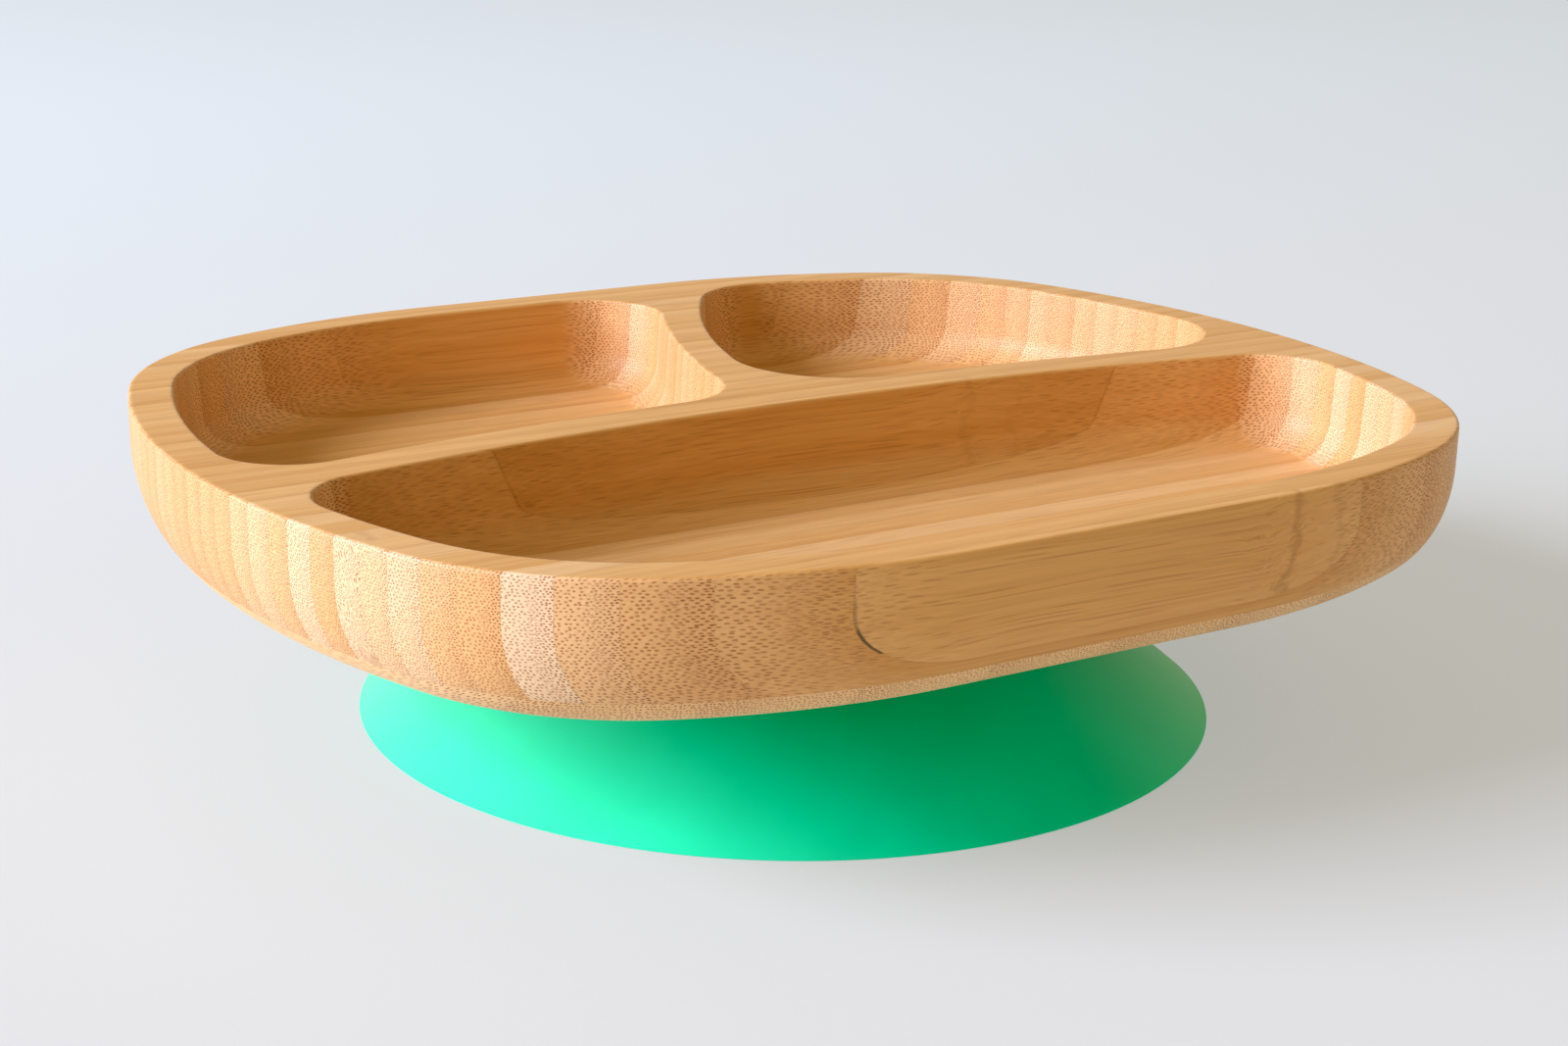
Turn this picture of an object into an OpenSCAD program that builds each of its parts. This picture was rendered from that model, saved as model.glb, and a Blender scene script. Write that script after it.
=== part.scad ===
// Divided suction plate: a laminated bamboo plate with three compartments on a silicone suction foot.
// Millimetres, +Z up. The origin is on the table, under the plate's middle. +X runs along the long divider.

/* [Plate] */
// Width of the plate, along the long divider
plate_w = 214; // [200:1:230]
// Depth of the plate, from its near side to its far side
plate_d = 183; // [172:1:195]
// Thickness of the plate, from underside to rim
plate_t = 23; // [21:0.5:28]
// Radius of the bow of the left and right sides
side_r = 155; // [140:1:180]
// Radius of the bow beside the straight run of the near and far sides
front_r = 114; // [105:1:130]
// Length of the straight run in the middle of the near and far sides
front_run = 51; // [44:1:58]
// Radius of the four corners, seen from above
corner_r = 51; // [46:1:56]
// Height of the rounded lower edge, a quarter of an ellipse
edge_rise = 16; // [12:0.5:18]
// Reach of the rounded lower edge under the plate
edge_reach = 10; // [8:0.5:12]
// Width of the broken top edges
edge_break = 0.6; // [0.3:0.1:1]

/* [Compartments] */
// Width of the rim around the compartments
rim_w = 7.5; // [6:0.5:9]
// Depth of the compartments
pocket_depth = 16.5; // [13:0.5:17]
// Radius between the walls and the floor
pocket_fillet = 7; // [5:0.5:8]
// Lean of the compartment walls, in degrees
pocket_draft = 3; // [1:0.5:5]
// Radius of the large compartment's far corners and of the left one's near corner, at the rim
pocket_corner_r = 12; // [11:0.5:15]
// Radius of the left compartment's corners beside the short divider
left_corner_r = 14; // [12:0.5:16]
// Radius of the right compartment's corners
right_corner_r = 19; // [16:0.5:21]
// Width of the long divider
divider_w = 9; // [7:0.5:11]
// Middle of the long divider, from the middle of the plate
divider_y = -3.5; // [-10:0.5:4]
// Radius of the long divider's bow
divider_bow_r = 480; // [400:10:700]
// Width of the short divider at its middle
short_w = 7.5; // [6:0.5:9]
// Place of the short divider's middle along the width
short_x = 5; // [-5:0.5:10]
// Place of the short divider's middle along the depth
short_y = 40; // [36:0.5:46]
// Lean of the short divider at its middle, in degrees from the depth
short_lean = 20; // [16:0.5:23]
// Radius of the bow of the short divider's left wall
short_left_r = 230; // [210:5:300]
// Radius of the bow of the short divider's right wall, which makes it wider at its ends
short_right_r = 160; // [145:5:200]

/* [Lamination] */
// Number of upright strips that the plate is glued from
strip_count = 36; // [30:1:40]
// Thickness that the milled outline leaves of the nearest strip
near_strip_t = 1.9; // [1.2:0.1:4]
// Thickness of the cross-laid base ply
base_t = 4.5; // [3.5:0.5:5.5]
// Number of slats in the base ply
slat_count = 10; // [8:1:12]

/* [Suction foot] */
// Diameter of the sealing rim on the table
skirt_d = 148; // [136:1:156]
// Height to which the outside of the skirt's dome would rise
skirt_rise = 28; // [26:0.5:31]
// Height of the flat top of the skirt
skirt_h = 24; // [22:0.5:25]
// Width of the sealing face on the table
seal_w = 2; // [1.5:0.25:4]
// Thickness of the skirt at its middle
crown_t = 3; // [2:0.25:4]
// Height of the plate's underside above the table
foot_h = 31.5; // [29:0.5:35]
// Diameter of the hub's waist
waist_d = 46; // [40:1:50]
// Diameter of the flange under the plate
flange_d = 60; // [56:1:66]
// Thickness of the flange under the plate
flange_t = 2; // [1.5:0.25:3]
// Thickness of the hub's foot on the skirt
hub_foot_t = 1.5; // [1:0.25:2]
// Diameter of the plug that holds the plate
plug_d = 51.6; // [48:0.2:54]
// Depth of the plug's seat in the base ply
seat_depth = 3.6; // [3:0.1:4]
// Clearance around the plug
plug_side_gap = 0.2; // [0.1:0.05:0.3]
// Clearance above the plug
plug_top_gap = 0.3; // [0.2:0.05:0.5]
// Depth of the grip groove around the plug
grip_depth = 0.8; // [0.4:0.1:1.2]
// Height of the grip groove around the plug
grip_h = 1.2; // [0.8:0.1:1.6]

/* [Release tab] */
// Width of the release tab
tab_w = 22; // [16:1:28]
// Length of the release tab
tab_l = 12; // [9:0.5:13]
// Thickness of the release tab
tab_t = 2.4; // [2:0.1:3]
// Radius of the tab's two outer corners
tab_corner_r = 5; // [3:0.5:7]
// Radius of the grip ridge across the tab
ridge_r = 1; // [0.6:0.1:1.4]
// Height of the tab above the table
tab_lift = 0.6; // [0.4:0.1:1]
// Reach of the lug that carries the tab beyond the sealing rim
lug_reach = 2; // [1.5:0.25:3]
// Gap at the tab's thin hinge
tab_gap = 0.25; // [0.2:0.05:0.4]

/* [Hidden] */
$fn = 96;
bow_fn = 240;
over = 1;
facet = 7;
facet_a = 18;
edge_steps = 4;

top_z = foot_h + plate_t;
ply_z = foot_h + base_t;
strip_w = (plate_d - near_strip_t) / (strip_count - 1);
slat_w = plate_w / slat_count;
seat_d = plug_d + 2 * plug_side_gap;
plug_h = seat_depth - plug_top_gap;

// Foot of the compartment walls: centre of the fillet, inwards from the wall's top and up from the rim
fillet_u = (pocket_depth - pocket_fillet) * tan(pocket_draft) + pocket_fillet / cos(pocket_draft);
fillet_z = pocket_fillet - pocket_depth;
// Angle on the rounded lower edge at which the base ply ends
ply_a = asin(1 - base_t / edge_rise);

function two(i) = str(floor(i / 10), i % 10);
strip_names = [for (i = [1 : strip_count]) str("bamboo_strip_", two(i))];
slat_names = [for (i = [1 : slat_count]) str("base_slat_", two(i))];

// Geometry of circles, with angles in degrees
function along(a) = [cos(a), sin(a)];
function angle_to(from, to) = atan2(to.y - from.y, to.x - from.x);
function past(a, b) = b < a ? past(a, b + 360) : (b > a + 360 ? past(a, b - 360) : b);
function meet(c1, r1, c2, r2, side) =
    let (d = norm(c2 - c1), e = (c2 - c1) / d, a = (r1 * r1 - r2 * r2 + d * d) / (2 * d))
    c1 + a * e + side * sqrt(r1 * r1 - a * a) * [-e.y, e.x];
function flip_x(p) = [-p.x, p.y];

// Centres of the plate's outline, for its right and far sides
side_c = [plate_w / 2 - side_r, 0];
front_c = [front_run / 2, plate_d / 2 - front_r];
corner_c = meet(side_c, side_r - corner_r, front_c, front_r - corner_r, 1);
side_a = angle_to(side_c, corner_c);
front_a = angle_to(front_c, corner_c);

// An arc is [centre, radius, first angle, last angle, side, run]: the outline's inside is on the side of
// the centre at side 1 and on the other at -1, and a straight run follows the arc at run 1
function arc(c, r, a0, a1, side = 1, run = 0) = [c, r, a0, past(a0, a1), side, run];
function right_arc(inset, a0, a1) = arc(side_c, side_r - inset, a0, a1);
function left_arc(inset, a0, a1) = arc(flip_x(side_c), side_r - inset, a0, a1);
function corner_arc(inset, sx, sy, a0, a1) =
    arc([sx * corner_c.x, sy * corner_c.y], corner_r - inset, a0, a1);
function front_arc(inset, sx, sy, a0, a1) =
    arc([sx * front_c.x, sy * front_c.y], front_r - inset, a0, a1, 1, a1 == 90 || a1 == 270 ? 1 : 0);

// The plate's outline, counter-clockwise from the right side
outline = [
    right_arc(0, -side_a, side_a),
    corner_arc(0, 1, 1, side_a, front_a),
    front_arc(0, 1, 1, front_a, 90),
    front_arc(0, -1, 1, 90, 180 - front_a),
    corner_arc(0, -1, 1, 180 - front_a, 180 - side_a),
    left_arc(0, 180 - side_a, 180 + side_a),
    corner_arc(0, -1, -1, 180 + side_a, 180 + front_a),
    front_arc(0, -1, -1, 180 + front_a, 270),
    front_arc(0, 1, -1, 270, 360 - front_a),
    corner_arc(0, 1, -1, 360 - front_a, 360 - side_a),
];

// Long divider: its near wall bounds the large compartment, its far wall the two small ones
bow_c = [0, divider_y - divider_w / 2 - divider_bow_r];
bow_near_r = divider_bow_r;
bow_far_r = divider_bow_r + divider_w;
// Short divider, which leans and bows to the right: centres of its two walls
short_way = [cos(short_lean), -sin(short_lean)];
left_c = [short_x, short_y] + (short_left_r - short_w / 2) * short_way;
right_c = [short_x, short_y] + (short_right_r + short_w / 2) * short_way;
// Radii and places of the rim's inside, and the corner radii
side_in = side_r - rim_w;
front_in = front_r - rim_w;
back_y = plate_d / 2 - rim_w;
pk = pocket_corner_r;
lk = left_corner_r;
rk = right_corner_r;

// Centres of the corners beside the dividers
big_left = meet(flip_x(side_c), side_in - pk, bow_c, bow_near_r - pk, -1);
big_right = flip_x(big_left);
left_near = meet(flip_x(side_c), side_in - pk, bow_c, bow_far_r + pk, -1);
left_mid = meet(bow_c, bow_far_r + lk, left_c, short_left_r + lk, 1);
left_far = [left_c.x - sqrt(pow(short_left_r + lk, 2) - pow(back_y - lk - left_c.y, 2)), back_y - lk];
right_near = meet(side_c, side_in - rk, bow_c, bow_far_r + rk, 1);
right_mid = meet(bow_c, bow_far_r + rk, right_c, short_right_r - rk, 1);
right_far = meet(front_c, front_in - rk, right_c, short_right_r - rk, 1);

big_pocket = [
    arc(bow_c, bow_near_r, angle_to(bow_c, big_right), angle_to(bow_c, big_left)),
    arc(big_left, pk, angle_to(bow_c, big_left), angle_to(flip_x(side_c), big_left)),
    left_arc(rim_w, past(90, angle_to(flip_x(side_c), big_left)), 180 + side_a),
    corner_arc(rim_w, -1, -1, 180 + side_a, 180 + front_a),
    front_arc(rim_w, -1, -1, 180 + front_a, 270),
    front_arc(rim_w, 1, -1, 270, 360 - front_a),
    corner_arc(rim_w, 1, -1, 360 - front_a, 360 - side_a),
    right_arc(rim_w, -side_a, angle_to(side_c, big_right)),
    arc(big_right, pk, angle_to(side_c, big_right), angle_to(bow_c, big_right)),
];
left_pocket = [
    arc(bow_c, bow_far_r, angle_to(bow_c, left_mid), angle_to(bow_c, left_near), -1),
    arc(left_mid, lk, angle_to(left_mid, bow_c), angle_to(left_mid, left_c)),
    arc(left_c, short_left_r, angle_to(left_c, left_far), angle_to(left_c, left_mid), -1),
    arc(left_far, lk, angle_to(left_far, left_c), 90, 1, 1),
    front_arc(rim_w, -1, 1, 90, 180 - front_a),
    corner_arc(rim_w, -1, 1, 180 - front_a, 180 - side_a),
    left_arc(rim_w, 180 - side_a, angle_to(flip_x(side_c), left_near)),
    arc(left_near, pk, angle_to(flip_x(side_c), left_near), angle_to(left_near, bow_c)),
];
right_pocket = [
    arc(bow_c, bow_far_r, angle_to(bow_c, right_near), angle_to(bow_c, right_mid), -1),
    arc(right_near, rk, angle_to(right_near, bow_c), angle_to(side_c, right_near)),
    right_arc(rim_w, angle_to(side_c, right_near), side_a),
    corner_arc(rim_w, 1, 1, side_a, front_a),
    front_arc(rim_w, 1, 1, front_a, angle_to(front_c, right_far)),
    arc(right_far, rk, angle_to(front_c, right_far), angle_to(right_c, right_far)),
    arc(right_c, short_right_r, angle_to(right_c, right_far), angle_to(right_c, right_mid)),
    arc(right_mid, rk, angle_to(right_c, right_mid), angle_to(right_mid, bow_c)),
];

// Outlines as loops of points, moved inwards by an inset
function parts(a) = max(1, ceil((a[3] - a[2]) / facet_a), ceil((a[3] - a[2]) * PI / 180 * a[1] / facet));
function spots(a, inset) = let (n = parts(a), r = a[1] - a[4] * inset, turn = (a[3] - a[2]) / n)
    [for (k = [0 : n - 1 + a[5]]) a[0] + r * along(a[4] > 0 ? a[2] + k * turn : a[3] - k * turn)];
function loop(arcs, inset) = [for (a = arcs) each spots(a, inset)];
// Places on a loop that lie in a slab or beside one that does, at the loop's least or greatest inset
function near(outer, inner, axis, lo, hi) = let (n = len(outer))
    [for (i = [0 : n - 1])
        let (w = [for (k = [n - 1 : n + 1]) each [outer[(i + k) % n][axis], inner[(i + k) % n][axis]]])
        if (max(w) > lo && min(w) < hi) i];
function meets(points, axis, lo, hi) = let (v = [for (p = points) p[axis]]) max(v) > lo && min(v) < hi;
function mean(points) = [for (p = points) 1] * points / len(points);

// Heights and insets of the plate's edge: the rounded part in the base ply, then the rest up to the top
function round_level(a) = [foot_h + edge_rise * (1 - sin(a)), edge_reach * (1 - cos(a))];
ply_levels = [for (k = [0 : edge_steps]) round_level(90 + (ply_a - 90) * k / edge_steps)];
strip_levels = concat([for (k = [0 : edge_steps]) round_level(ply_a * (1 - k / edge_steps))],
                      [[top_z - edge_break, 0], [top_z, edge_break]]);
// Heights and insets of a compartment's wall: the fillet from the floor up, the wall and the broken edge
function fillet_level(a) = [top_z + fillet_z, fillet_u] + pocket_fillet * [sin(a), cos(a)];
pocket_levels = concat([for (k = [0 : edge_steps]) fillet_level(270 + (pocket_draft - 90) * k / edge_steps)],
                       [[top_z - edge_break, edge_break * tan(pocket_draft)],
                        [top_z + over, -edge_break - over]]);

// Solid through loops with the same number of points, from the lowest up
module loft(loops, heights) {
    n = len(loops[0]);
    m = len(loops);
    rings = [for (k = [0 : m - 1], q = loops[k]) [q.x, q.y, heights[k]]];
    low = mean(loops[0]);
    high = mean(loops[m - 1]);
    walls = [for (k = [0 : m - 2], i = [0 : n - 1]) let (a = k * n + i, b = k * n + (i + 1) % n)
             each [[a, a + n, b + n], [a, b + n, b]]];
    bottom = [for (i = [0 : n - 1]) [m * n, i, (i + 1) % n]];
    top = [for (i = [0 : n - 1]) [m * n + 1, (m - 1) * n + (i + 1) % n, (m - 1) * n + i]];
    polyhedron(concat(rings, [[low.x, low.y, heights[0]], [high.x, high.y, heights[m - 1]]]),
               concat(walls, bottom, top));
}

// The part of a lofted form near a slab: the outline's insets at the levels' heights
module form(arcs, levels, axis, lo, hi) {
    insets = [for (l = levels) l[1]];
    kept = near(loop(arcs, min(insets)), loop(arcs, max(insets)), axis, lo, hi);
    if (meets(loop(arcs, min(insets)), axis, lo, hi))
        loft([for (u = insets) let (points = loop(arcs, u)) [for (i = kept) points[i]]],
             [for (l = levels) l[0]]);
}

// A slab across the plate, between two places on one axis
module slab(axis, lo, hi) {
    reach = plate_w;
    corner = axis == 0 ? [lo, -reach] : [-reach, lo];
    span = axis == 0 ? [hi - lo, 2 * reach] : [2 * reach, hi - lo];
    translate(corner) linear_extrude(2 * top_z) square(span);
}

// One upright strip of the plate, milled with the compartments
module bamboo_strip(i) {
    hi = near_strip_t - plate_d / 2 + i * strip_w;
    lo = i == 0 ? -plate_d / 2 - over : hi - strip_w;
    color(i % 2 == 0 ? "burlywood" : "tan") difference() {
        intersection() {
            slab(1, lo, i == strip_count - 1 ? hi + over : hi);
            form(outline, strip_levels, 1, lo, hi);
        }
        for (p = [big_pocket, left_pocket, right_pocket]) form(p, pocket_levels, 1, lo, hi);
    }
}

// One slat of the base ply, laid across the strips and milled with the plug's seat
module base_slat(i) {
    lo = -plate_w / 2 + i * slat_w;
    hi = lo + slat_w;
    color("peru") difference() {
        intersection() {
            slab(0, i == 0 ? lo - over : lo, i == slat_count - 1 ? hi + over : hi);
            form(outline, ply_levels, 0, lo, hi);
        }
        translate([0, 0, foot_h - over]) cylinder(d = seat_d, h = seat_depth + over, $fn = bow_fn);
    }
}

// Spheres of the skirt's outside and of the air space under it
skirt_r = skirt_d / 2;
dome_r = (skirt_r * skirt_r + skirt_rise * skirt_rise) / (2 * skirt_rise);
crown_r = sqrt(pow(dome_r, 2) - pow(dome_r - skirt_rise + skirt_h, 2));
air_rise = skirt_h - crown_t;
air_r = (pow(skirt_r - seal_w, 2) + air_rise * air_rise) / (2 * air_rise);
hinge_y = skirt_r + lug_reach + tab_gap;

module half_disc(r, z) {
    intersection() {
        translate([0, z]) circle(r, $fn = bow_fn);
        square([r, 2 * r]);
    }
}

// Flexible dome that seals on the table, with the lug that carries the release tab
module suction_skirt() {
    color("mediumseagreen") difference() {
        union() {
            rotate_extrude($fn = bow_fn) intersection() {
                half_disc(dome_r, skirt_rise - dome_r);
                square([skirt_d, skirt_h]);
            }
            translate([-tab_w / 2, skirt_r - 3 * lug_reach, tab_lift]) cube([tab_w, 4 * lug_reach, tab_t]);
        }
        translate([0, 0, -over]) cylinder(r = skirt_r - seal_w, h = over, $fn = bow_fn);
        rotate_extrude($fn = bow_fn) half_disc(air_r, air_rise - air_r);
    }
}

// Thick middle of the foot: its plug fills the seat under the plate
module suction_hub() {
    groove_h = foot_h - flange_t - hub_foot_t - skirt_h;
    groove_z = skirt_h + hub_foot_t + groove_h / 2;
    color("mediumaquamarine") rotate_extrude($fn = bow_fn) difference() {
        union() {
            translate([0, skirt_h]) square([crown_r - over, hub_foot_t + groove_h / 2]);
            translate([0, groove_z]) square([flange_d / 2, foot_h - groove_z]);
            polygon([[0, foot_h], [plug_d / 2, foot_h], [plug_d / 2, foot_h + plug_h - edge_break],
                     [plug_d / 2 - edge_break, foot_h + plug_h], [0, foot_h + plug_h]]);
        }
        translate([waist_d / 2 + groove_h / 2, groove_z]) circle(groove_h / 2);
        translate([waist_d / 2 + groove_h / 2, groove_z - groove_h / 2]) square([flange_d, groove_h]);
        translate([plug_d / 2 - grip_depth, foot_h + (plug_h - grip_h) / 2]) square([plug_d, grip_h]);
    }
}

// Pull tab behind the skirt, on a thin hinge at its top edge
module release_tab() {
    inner_w = tab_w - 2 * tab_corner_r;
    color("seagreen") translate([0, hinge_y, tab_lift]) {
        linear_extrude(tab_t) {
            translate([-tab_w / 2, 0]) square([tab_w, tab_l - tab_corner_r]);
            translate([-inner_w / 2, 0]) square([inner_w, tab_l]);
            for (side = [-1, 1]) translate([side * inner_w / 2, tab_l - tab_corner_r]) circle(tab_corner_r);
        }
        translate([-inner_w / 2, tab_l - tab_corner_r, tab_t]) rotate([0, 90, 0])
            cylinder(r = ridge_r, h = inner_w);
    }
}

for (i = [0 : strip_count - 1]) bamboo_strip(i);
for (i = [0 : slat_count - 1]) base_slat(i);
suction_skirt();
suction_hub();
release_tab();
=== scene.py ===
# Looks of the divided suction plate: smooth bamboo strips and slats, and the silicone foot.
import math
import random

import bmesh
import bpy
from mathutils import Matrix, Vector
from mathutils.geometry import tessellate_polygon


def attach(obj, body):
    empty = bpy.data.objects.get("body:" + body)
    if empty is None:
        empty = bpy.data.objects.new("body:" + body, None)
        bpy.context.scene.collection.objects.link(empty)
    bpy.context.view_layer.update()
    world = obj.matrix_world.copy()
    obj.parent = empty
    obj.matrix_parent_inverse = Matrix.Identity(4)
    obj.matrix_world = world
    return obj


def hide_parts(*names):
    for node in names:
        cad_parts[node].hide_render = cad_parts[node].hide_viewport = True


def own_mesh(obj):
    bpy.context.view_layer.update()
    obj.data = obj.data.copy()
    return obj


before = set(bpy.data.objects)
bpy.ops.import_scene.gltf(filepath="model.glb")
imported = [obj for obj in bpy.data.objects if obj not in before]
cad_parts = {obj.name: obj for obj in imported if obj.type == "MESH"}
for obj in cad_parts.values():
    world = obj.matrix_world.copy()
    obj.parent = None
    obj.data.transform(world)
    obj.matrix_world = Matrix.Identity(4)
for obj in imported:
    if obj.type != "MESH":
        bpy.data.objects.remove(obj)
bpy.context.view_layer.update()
random.seed(7)

MM_PER_M = 1000.0

# Plate: sizes in millimetres and degrees, as in the part's source
PLATE_W = 214.0
PLATE_D = 183.0
PLATE_T = 23.0
SIDE_R = 155.0
FRONT_R = 114.0
FRONT_RUN = 51.0
CORNER_R = 51.0
EDGE_RISE = 16.0
EDGE_REACH = 10.0
EDGE_BREAK = 0.6

# Compartments and dividers
RIM_W = 7.5
POCKET_DEPTH = 16.5
POCKET_FILLET = 7.0
POCKET_DRAFT = 3.0
POCKET_R = 12.0
LEFT_CORNER_R = 14.0
RIGHT_CORNER_R = 19.0
DIVIDER_W = 9.0
DIVIDER_Y = -3.5
DIVIDER_BOW_R = 480.0
SHORT_X = 5.0
SHORT_Y = 40.0
SHORT_LEAN = 20.0
SHORT_W = 7.5
SHORT_LEFT_R = 230.0
SHORT_RIGHT_R = 160.0

# Layers
STRIPS = 36
NEAR_STRIP_T = 1.9
SLATS = 10
BASE_T = 4.5

# Suction foot and release tab
FOOT_H = 31.5
SEAT_R = 26.0
SEAT_DEPTH = 3.6
SKIRT_D = 148.0
SKIRT_RISE = 28.0
SKIRT_H = 24.0
SEAL_W = 2.0
CROWN_T = 3.0
WAIST_R = 23.0
FLANGE_R = 30.0
FLANGE_T = 2.0
HUB_FOOT_T = 1.5
HUB_INSET = 1.0
PLUG_R = 25.8
PLUG_H = 3.3
GRIP_DEPTH = 0.8
GRIP_H = 1.2
TAB_W = 22.0
TAB_L = 12.0
TAB_T = 2.4
TAB_CORNER_R = 5.0
TAB_LIFT = 0.6
TAB_GAP = 0.25
RIDGE_R = 1.0
LUG_REACH = 2.0
LUG_DEPTH = 3 * LUG_REACH

# Softened edges of the seat, the foot and the tab, which only the scene has
SEAT_BREAK = 0.4
SEAL_BREAK = ((0.25, 0.0), (0.05, 0.12))
CROWN_BREAK = 0.6
HUB_FOOT_BREAK = 0.3
HUB_BREAK = 0.4
PLUG_BREAK = 0.2
LUG_BREAK = 0.3
TAB_BREAK = 0.4
ROOT_CORNER_R = 0.6

# Air space under the skirt: height of its lip, its flare there, and its run below the table
AIR_LIP = 0.05
AIR_FLARE = 0.15
AIR_BELOW = 1.0

# Fineness of the meshes: longest step along an arc, facets of round edges, first loop on a flat face
STEP = 1.5
STEP_ANGLE = 4.0
EDGE_FACETS = 20
BREAK_FACETS = 4
FILLET_FACETS = 12
CORNER_FACETS = 12
SEAT_FACETS = 96
TURN_FACETS = 160
DOME_FACETS = 40
GROOVE_FACETS = 12
RIDGE_FACETS = 32
UNDERSIDE_LOOP = 0.5
RIM_LOOP = 0.3
FLOOR_LOOP = 0.4
# Angles from which an edge is sharp, and the tolerance of a cut
SHARP_ANGLE = 40.0
HUB_SHARP_ANGLE = 50.0
CUT_TOLERANCE = 1e-4

TOP_Z = FOOT_H + PLATE_T
PLY_Z = FOOT_H + BASE_T
STRIP_W = (PLATE_D - NEAR_STRIP_T) / (STRIPS - 1)
SLAT_W = PLATE_W / SLATS
HINGE_Y = SKIRT_D / 2 + LUG_REACH + TAB_GAP


# Plan of the plate: chains of arcs, each (centre, radius, first angle, last angle, side, run after it)
def along(a):
    return Vector((math.cos(math.radians(a)), math.sin(math.radians(a))))


def angle(a, b):
    return math.degrees(math.atan2(b.y - a.y, b.x - a.x))


def meet(c1, r1, c2, r2, side):
    """Where two circles cross, to the left (1) or right (-1) of the line from the first to the second."""
    d = (c2 - c1).length
    e = (c2 - c1) / d
    a = (r1 * r1 - r2 * r2 + d * d) / (2 * d)
    return c1 + a * e + side * math.sqrt(r1 * r1 - a * a) * Vector((-e.y, e.x))


def flip(p):
    return Vector((-p.x, p.y))


def arc(c, r, a0, a1, side=1, run=0):
    while a1 < a0:
        a1 += 360
    while a1 > a0 + 360:
        a1 -= 360
    return c, r, a0, a1, side, run


side_c = Vector((PLATE_W / 2 - SIDE_R, 0))
front_c = Vector((FRONT_RUN / 2, PLATE_D / 2 - FRONT_R))
corner_c = meet(side_c, SIDE_R - CORNER_R, front_c, FRONT_R - CORNER_R, 1)
SIDE_A = angle(side_c, corner_c)
FRONT_A = angle(front_c, corner_c)


def right_arc(inset, a0, a1):
    return arc(side_c, SIDE_R - inset, a0, a1)


def left_arc(inset, a0, a1):
    return arc(flip(side_c), SIDE_R - inset, a0, a1)


def corner_arc(inset, sx, sy, a0, a1):
    return arc(Vector((sx * corner_c.x, sy * corner_c.y)), CORNER_R - inset, a0, a1)


def front_arc(inset, sx, sy, a0, a1):
    return arc(Vector((sx * front_c.x, sy * front_c.y)), FRONT_R - inset, a0, a1, 1, int(a1 in (90, 270)))


outline = [
    right_arc(0, -SIDE_A, SIDE_A),
    corner_arc(0, 1, 1, SIDE_A, FRONT_A),
    front_arc(0, 1, 1, FRONT_A, 90),
    front_arc(0, -1, 1, 90, 180 - FRONT_A),
    corner_arc(0, -1, 1, 180 - FRONT_A, 180 - SIDE_A),
    left_arc(0, 180 - SIDE_A, 180 + SIDE_A),
    corner_arc(0, -1, -1, 180 + SIDE_A, 180 + FRONT_A),
    front_arc(0, -1, -1, 180 + FRONT_A, 270),
    front_arc(0, 1, -1, 270, 360 - FRONT_A),
    corner_arc(0, 1, -1, 360 - FRONT_A, 360 - SIDE_A),
]
bow_c = Vector((0, DIVIDER_Y - DIVIDER_W / 2 - DIVIDER_BOW_R))
NEAR_R = DIVIDER_BOW_R
FAR_R = DIVIDER_BOW_R + DIVIDER_W
short_mid = Vector((SHORT_X, SHORT_Y))
left_c = short_mid + (SHORT_LEFT_R - SHORT_W / 2) * along(-SHORT_LEAN)
right_c = short_mid + (SHORT_RIGHT_R + SHORT_W / 2) * along(-SHORT_LEAN)
SIDE_IN = SIDE_R - RIM_W
FRONT_IN = FRONT_R - RIM_W
lside_c = flip(side_c)
big_left = meet(lside_c, SIDE_IN - POCKET_R, bow_c, NEAR_R - POCKET_R, -1)
big_right = flip(big_left)
left_near = meet(lside_c, SIDE_IN - POCKET_R, bow_c, FAR_R + POCKET_R, -1)
left_mid = meet(bow_c, FAR_R + LEFT_CORNER_R, left_c, SHORT_LEFT_R + LEFT_CORNER_R, 1)
left_far_y = PLATE_D / 2 - RIM_W - LEFT_CORNER_R
left_far_x = left_c.x - math.sqrt((SHORT_LEFT_R + LEFT_CORNER_R) ** 2 - (left_far_y - left_c.y) ** 2)
left_far = Vector((left_far_x, left_far_y))
right_near = meet(side_c, SIDE_IN - RIGHT_CORNER_R, bow_c, FAR_R + RIGHT_CORNER_R, 1)
right_mid = meet(bow_c, FAR_R + RIGHT_CORNER_R, right_c, SHORT_RIGHT_R - RIGHT_CORNER_R, 1)
right_far = meet(front_c, FRONT_IN - RIGHT_CORNER_R, right_c, SHORT_RIGHT_R - RIGHT_CORNER_R, 1)
big_pocket = [
    arc(bow_c, NEAR_R, angle(bow_c, big_right), angle(bow_c, big_left)),
    arc(big_left, POCKET_R, angle(bow_c, big_left), angle(lside_c, big_left)),
    left_arc(RIM_W, angle(lside_c, big_left) % 360, 180 + SIDE_A),
    corner_arc(RIM_W, -1, -1, 180 + SIDE_A, 180 + FRONT_A),
    front_arc(RIM_W, -1, -1, 180 + FRONT_A, 270),
    front_arc(RIM_W, 1, -1, 270, 360 - FRONT_A),
    corner_arc(RIM_W, 1, -1, 360 - FRONT_A, 360 - SIDE_A),
    right_arc(RIM_W, -SIDE_A, angle(side_c, big_right)),
    arc(big_right, POCKET_R, angle(side_c, big_right), angle(bow_c, big_right)),
]
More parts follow.
